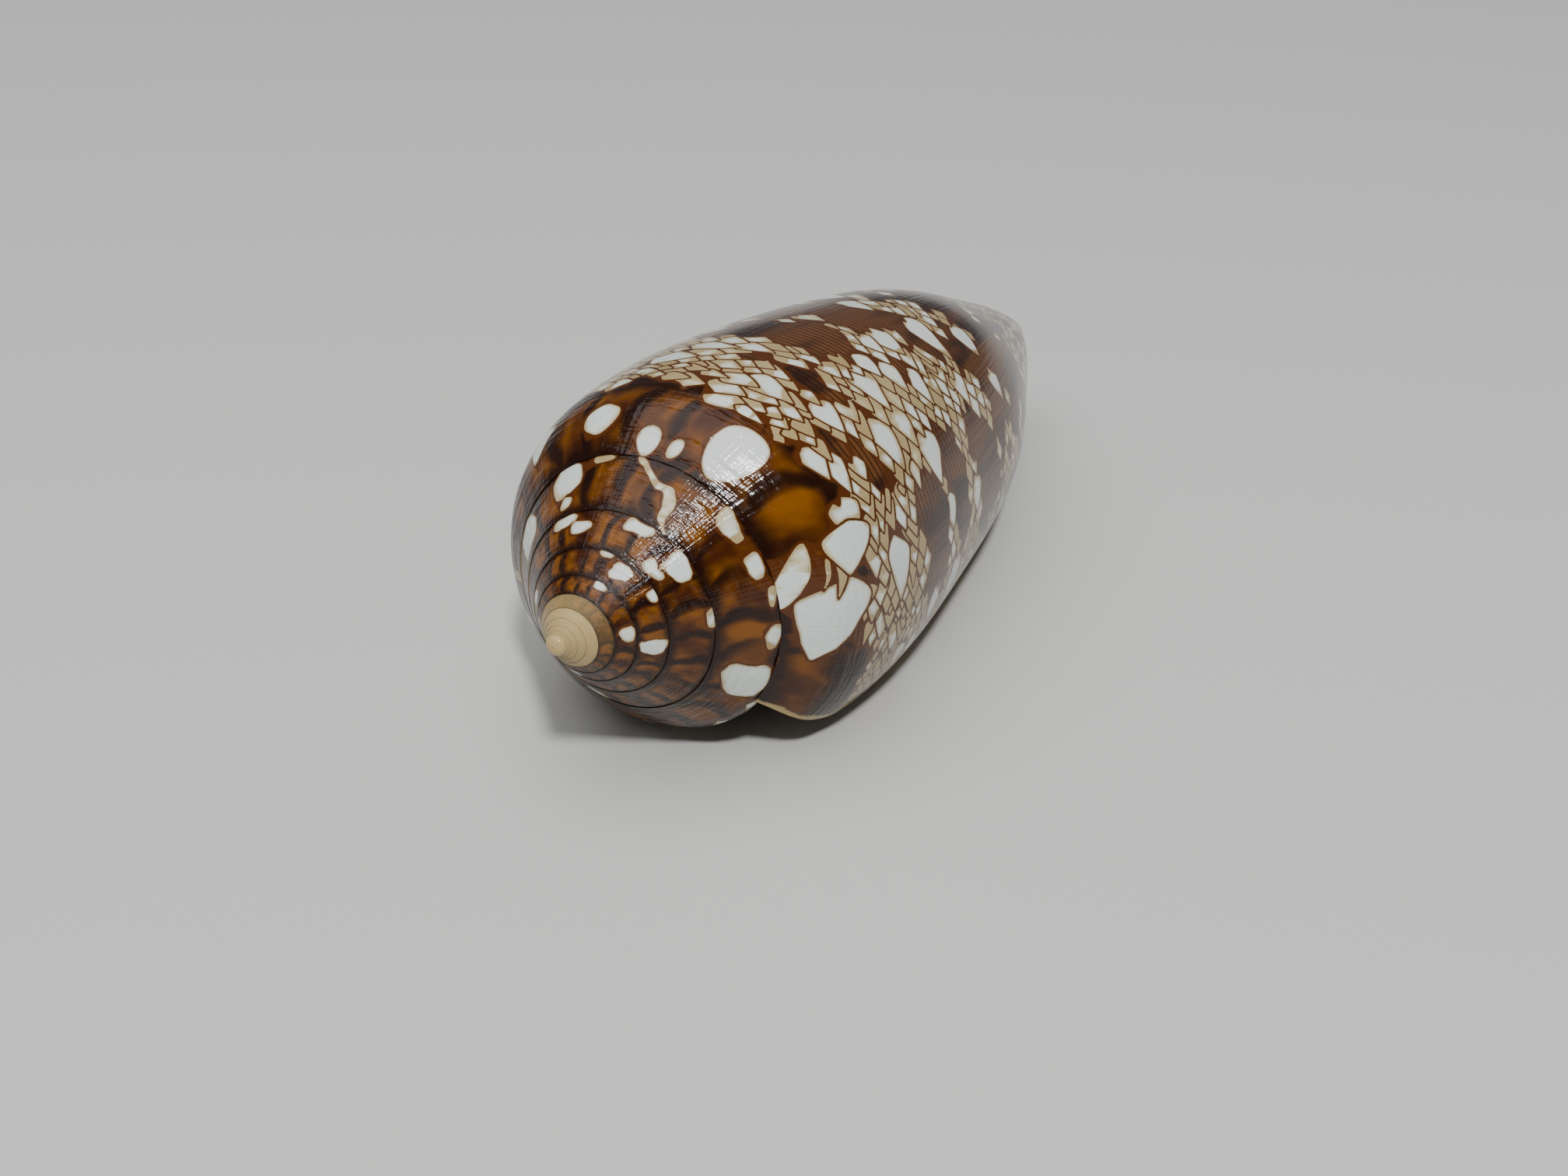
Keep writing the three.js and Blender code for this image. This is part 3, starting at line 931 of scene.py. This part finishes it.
def lay_down(points, normals, low, high):
    """Turns the coil's own frame into the part's, and sets it where the part is."""
    tilt = math.radians(AXIS_TILT)
    apex_way = np.array([-math.cos(tilt), 0, math.sin(tilt)])
    up_way = np.array([math.sin(tilt), 0, math.cos(tilt)])
    side_way = np.cross(up_way, apex_way)
    basis = np.stack([side_way, up_way, apex_way])
    points, normals = points @ basis * MM, normals @ basis
    here_low, here_high = points.min(0), points.max(0)
    middle = (np.array(low) + np.array(high)) / 2 - (here_low + here_high) / 2
    middle[2] = low[2] - here_low[2]
    return points + middle, normals


def all_of_it(low, high):
    """Every sheet of the shell's surface, laid down where the part is."""
    random = np.random.default_rng(SEED)
    skin = Skin()
    add_last_turn(skin, random)
    add_spire(skin, random)
    add_seam(skin)
    add_nucleus(skin)
    add_inside(skin)
    add_lip(skin)
    add_front_end(skin)
    points, normals = np.concatenate(skin.points), np.concatenate(skin.normals)
    return skin, *lay_down(points, normals, low, high)


def in_scene(name, data):
    """A new object in the scene, made of that mesh, light or camera."""
    made = bpy.data.objects.new(name, data)
    bpy.context.scene.collection.objects.link(made)
    return made


def store(mesh, name, domain, values, kind="FLOAT", field="value"):
    """Keeps one number or vector for every face or point, for the material to read."""
    attribute = mesh.attributes.new(name, kind, domain)
    attribute.data.foreach_set(field, np.concatenate(values).astype(np.float32).ravel())


def make_surface(low, high):
    skin, points, normals = all_of_it(low, high)
    mesh = bpy.data.meshes.new("shell_surface")
    mesh.from_pydata(points.tolist(), [], np.concatenate(skin.triangles).tolist())
    store(mesh, "pigment", "FACE", skin.brown)
    store(mesh, "depth", "POINT", skin.depths)
    store(mesh, "zone", "POINT", skin.kinds)
    store(mesh, "sheet", "POINT", skin.places, "FLOAT_VECTOR", "vector")
    mesh.polygons.foreach_set("use_smooth", np.ones(len(mesh.polygons), bool))
    mesh.normals_split_custom_set_from_vertices(normals.tolist())
    return in_scene("shell_surface", mesh)


class Nodes:
    """Short ways to write a material's nodes."""

    def __init__(self, name):
        self.material = bpy.data.materials.new(name)
        self.material.use_nodes = True
        self.tree = self.material.node_tree
        self.shader = self.tree.nodes["Principled BSDF"]

    def add(self, kind, **inputs):
        node = self.tree.nodes.new(kind)
        self.feed(node, **inputs)
        return node

    def feed(self, node, **inputs):
        for name, value in inputs.items():
            self.give(node.inputs[name.replace("_", " ")], value)

    def give(self, socket, value):
        if isinstance(value, bpy.types.NodeSocket):
            self.tree.links.new(value, socket)
        else:
            socket.default_value = value

    def attribute(self, name, output):
        node = self.tree.nodes.new("ShaderNodeAttribute")
        node.attribute_name = name
        return node.outputs[output]

    def math(self, operation, first, second=0.0, third=0.0):
        node = self.tree.nodes.new("ShaderNodeMath")
        node.operation = operation
        for socket, value in zip(node.inputs, (first, second, third)):
            self.give(socket, value)
        return node.outputs[0]

    def between(self, value, start, end):
        """0 at start and 1 at end, smooth between."""
        node = self.add("ShaderNodeMapRange", Value=value, From_Min=start, From_Max=end)
        node.interpolation_type = "SMOOTHSTEP"
        return node.outputs["Result"]

    def mix(self, share, first, second):
        node = self.tree.nodes.new("ShaderNodeMix")
        node.data_type = "RGBA"
        self.give(node.inputs["Factor"], share)
        self.give(node.inputs["A"], first)
        self.give(node.inputs["B"], second)
        return node.outputs["Result"]

    def stretched(self, vector, scale):
        node = self.tree.nodes.new("ShaderNodeVectorMath")
        node.operation = "MULTIPLY"
        self.give(node.inputs[0], vector)
        node.inputs[1].default_value = scale
        return node.outputs[0]

    def noise(self, vector, scale, detail=2.0):
        node = self.add("ShaderNodeTexNoise", Vector=vector, Scale=scale, Detail=detail)
        return node.outputs["Fac"]

    def patches(self, vector, scale, start, end, detail=2.0):
        """Soft noise, made 0 up to start and 1 from end on."""
        return self.between(self.noise(vector, scale, detail), start, end)


def color(screen):
    """A colour from its 0 to 255 screen values, as the light that it stands for."""
    light = [((v / 255 + 0.055) / 1.055) ** 2.4 if v > 10 else v / 3294.6 for v in screen]
    return (*light, 1)


def blended(nodes, share, pair):
    """From the first colour of a pair to the second."""
    return nodes.mix(share, color(pair[0]), color(pair[1]))


def ramp_brown(nodes, sheet, along, share, lip_shade):
    """Amber with dark red-brown arches from seam to seam, dark along both seams."""
    amber = blended(nodes, nodes.patches(sheet, *AMBER_PATCHES), AMBER)
    off_middle = nodes.math("MULTIPLY_ADD", share, 2.0, -1.0)
    arch = nodes.math("MULTIPLY", off_middle, off_middle)
    wander = nodes.noise(nodes.stretched(sheet, FLAME_STRETCH), 1.0)
    bent = nodes.math("MULTIPLY", arch, FLAME_BEND)
    turn = nodes.math("MULTIPLY_ADD", along, TURN / FLAME_SPACING, bent)
    turn = nodes.math("MULTIPLY_ADD", wander, FLAME_WANDER, turn)
    bands = nodes.between(nodes.math("SINE", turn), *FLAME_WAVE)
    dark = nodes.math("MULTIPLY", bands, nodes.patches(sheet, *FLAME_PATCHES))
    uneven = nodes.noise(sheet, SEAM_NOISE)
    uneven = nodes.math("MULTIPLY_ADD", uneven, SEAM_RAGGEDNESS, -SEAM_RAGGEDNESS / 2)
    edge = nodes.math("ABSOLUTE", nodes.math("ADD", off_middle, uneven))
    dark = nodes.math("MAXIMUM", dark, nodes.between(edge, *DARK_SEAM))
    dark = nodes.math("MULTIPLY", nodes.math("MAXIMUM", dark, lip_shade), FLAME_STRENGTH)
    return nodes.mix(dark, amber, color(FLAME_BROWN))


def body_brown(nodes, sheet, drop):
    """Brown with dark streaks along the growth lines and fine dark lines round the shell."""
    streaks = nodes.patches(nodes.stretched(sheet, STREAK_STRETCH), *STREAKS)
    wobble = nodes.math("MULTIPLY", nodes.noise(sheet, LINE_NOISE), LINE_WANDER)
    turn = nodes.math("MULTIPLY_ADD", drop, TURN / LINE_SPACING, wobble)
    lines = nodes.between(nodes.math("SINE", turn), *LINE_WAVE)
    lines = nodes.math("MULTIPLY", lines, LINE_STRENGTH)
    return nodes.mix(lines, blended(nodes, streaks, BODY_BROWN), color(SPIRAL_LINE))


def outside_brown(nodes, sheet, along, drop, on_spire):
    """The brown of the ramps and the shoulder, and below it that of the body."""
    width = nodes.math("MULTIPLY_ADD", on_spire, RAMP_WIDTH - SHOULDER_BAND, SHOULDER_BAND)
    near_lip, low_enough = nodes.between(along, *LIP_SHADE_ALONG), nodes.between(drop, *LIP_SHADE_DROP)
    lip_shade = nodes.math("MULTIPLY", near_lip, low_enough)
    lip_shade = nodes.math("MULTIPLY", lip_shade, nodes.math("SUBTRACT", 1.0, on_spire))
    ramp = ramp_brown(nodes, sheet, along, nodes.math("DIVIDE", drop, width), lip_shade)
    return nodes.mix(nodes.between(drop, *BODY_BROWN_DROP), ramp, body_brown(nodes, sheet, drop))


def tent_white(nodes, sheet, depth):
    """Beige along the outline, then white, or creamier where the tents are small."""
    beige = blended(nodes, nodes.noise(sheet, BEIGE_NOISE), BEIGE)
    creamy = nodes.patches(sheet, *CREAMY_PATCHES)
    creamy = nodes.math("MULTIPLY", creamy, nodes.between(depth, *SMALL_TENT_DEPTH))
    middle = nodes.mix(creamy, color(WHITE), color(CREAMY_WHITE))
    return nodes.mix(nodes.between(depth, *RIM_DEPTH), beige, middle)


def tents_and_brown(nodes, sheet, along, drop, on_spire):
    """White tents, thin lines of one brown between them, and richer brown further from them."""
    depth = nodes.attribute("depth", "Fac")
    wide_brown = outside_brown(nodes, sheet, along, drop, on_spire)
    brown = nodes.mix(nodes.between(depth, *WIDE_BROWN_DEPTH), color(TENT_LINE), wide_brown)
    return nodes.mix(nodes.attribute("pigment", "Fac"), tent_white(nodes, sheet, depth), brown)


def pale_parts(nodes, sheet, along, drop, on_spire):
    """1 on the apex, along the lip below the shoulder and on the lip's ragged worn edge."""
    young = nodes.between(along, CREAM_TURNS[0] * TURN_LENGTH, CREAM_TURNS[1] * TURN_LENGTH)
    near_lip, below_shoulder = nodes.between(along, *PALE_LIP_ALONG), nodes.between(drop, *PALE_LIP_DROP)
    lip = nodes.math("MULTIPLY", near_lip, below_shoulder)
    ragged = nodes.math("MULTIPLY_ADD", nodes.noise(sheet, WORN_NOISE), -WORN_RAGGEDNESS, along)
    off_spire = nodes.math("SUBTRACT", 1.0, on_spire)
    worn = nodes.math("MULTIPLY", nodes.between(ragged, *WORN_LIP_ALONG), off_spire)
    lip = nodes.math("MULTIPLY", nodes.math("MAXIMUM", lip, worn), PALE_LIP_STRENGTH)
    return nodes.math("MAXIMUM", nodes.math("MULTIPLY", young, on_spire), lip)


def apex_cream(nodes, sheet, drop, on_spire):
    """Cream with a thin brown line along the seams."""
    cream = blended(nodes, nodes.noise(sheet, APEX_NOISE), APEX_CREAM)
    off_middle = nodes.math("ABSOLUTE", nodes.math("MULTIPLY_ADD", drop, 2 / RAMP_WIDTH, -1.0))
    suture = nodes.math("MULTIPLY", nodes.between(off_middle, *SUTURE_EDGE), on_spire)
    return nodes.mix(nodes.math("MULTIPLY", suture, SUTURE_STRENGTH), cream, color(SUTURE))


def shell_material():
    nodes = Nodes("shell_glaze")
    sheet = nodes.attribute("sheet", "Vector")
    zone = nodes.attribute("zone", "Fac")
    parts = nodes.add("ShaderNodeSeparateXYZ", Vector=sheet)
    along, drop = parts.outputs["X"], parts.outputs["Y"]
    on_spire = nodes.math("GREATER_THAN", zone, (LAST_TURN + SPIRE) / 2)
    painted = tents_and_brown(nodes, sheet, along, drop, on_spire)
    pale = pale_parts(nodes, sheet, along, drop, on_spire)
    outer = nodes.mix(pale, painted, apex_cream(nodes, sheet, drop, on_spire))
    base = nodes.mix(nodes.math("GREATER_THAN", zone, (SPIRE + INSIDE) / 2), outer, color(INSIDE_CREAM))
    nodes.feed(nodes.shader, Base_Color=base, Normal=relief(nodes, sheet, drop, on_spire))
    nodes.feed(nodes.shader, Roughness=ROUGHNESS, Specular_IOR_Level=GLOSS)
    return nodes.material


def relief(nodes, sheet, drop, on_spire):
    """Fine spiral threads on the spire and shoulder, and faint growth lines everywhere."""
    threads = nodes.noise(nodes.stretched(sheet, THREAD_STRETCH), 1.0, THREAD_DETAIL)
    growth_lines = nodes.noise(nodes.stretched(sheet, GROWTH_LINE_STRETCH), 1.0)
    growth_lines = nodes.math("MULTIPLY", growth_lines, GROWTH_LINE_STRENGTH)
    near_top = nodes.math("MAXIMUM", nodes.between(drop, *THREADS_DROP), on_spire)
    strength = nodes.math("MULTIPLY_ADD", near_top, 1 - FAINT_THREADS, FAINT_THREADS)
    height = nodes.math("MULTIPLY_ADD", threads, strength, growth_lines)
    bump = nodes.add("ShaderNodeBump", Height=height, Distance=RELIEF_HEIGHT, Strength=RELIEF_STRENGTH)
    return bump.outputs["Normal"]


def add_floor():
    mesh = bpy.data.meshes.new("floor")
    corners = [(-1, -1), (1, -1), (1, 1), (-1, 1)]
    corners = [(x * FLOOR_HALF, y * FLOOR_HALF, 0) for x, y in corners]
    mesh.from_pydata(corners, [], [(0, 1, 2, 3)])
    floor = in_scene("floor", mesh)
    nodes = Nodes("pale_floor")
    nodes.feed(nodes.shader, Base_Color=FLOOR_COLOR, Roughness=FLOOR_ROUGHNESS)
    mesh.materials.append(nodes.material)


def add_light(name, place_at, aim, size, power):
    light = bpy.data.lights.new(name, "AREA")
    light.shape = "DISK"
    light.size = size
    light.energy = power
    holder = in_scene(name, light)
    holder.location = place_at
    holder.rotation_euler = (Vector(aim) - Vector(place_at)).to_track_quat("-Z", "Y").to_euler()


def add_lights():
    world = bpy.data.worlds.new("studio")
    world.use_nodes = True
    background = world.node_tree.nodes["Background"]
    background.inputs["Color"].default_value = SKY_COLOR
    background.inputs["Strength"].default_value = SKY_STRENGTH
    bpy.context.scene.world = world
    add_light("key", *KEY_LIGHT)
    add_light("overhead", *OVERHEAD_LIGHT)


def camera_turn():
    heading, pitch = math.radians(CAMERA_HEADING), math.radians(CAMERA_PITCH)
    level = math.cos(pitch)
    view = Vector((math.cos(heading) * level, math.sin(heading) * level, math.sin(pitch)))
    roll = Matrix.Rotation(math.radians(CAMERA_ROLL), 3, "Z")
    return view.to_track_quat("-Z", "Y").to_matrix() @ roll


def add_camera():
    camera = bpy.data.cameras.new("camera")
    camera.lens = CAMERA_LENS
    camera.sensor_width = SENSOR_WIDTH
    camera.clip_start = NEAREST_SEEN
    holder = in_scene("camera", camera)
    holder.matrix_world = Matrix.Translation(CAMERA_PLACE) @ camera_turn().to_4x4()
    bpy.context.scene.camera = holder


def main():
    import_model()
    low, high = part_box("shell")
    surface = make_surface(low, high)
    surface.data.materials.append(shell_material())
    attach(surface, "root")
    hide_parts("shell")
    add_floor()
    add_lights()
    add_camera()


main()
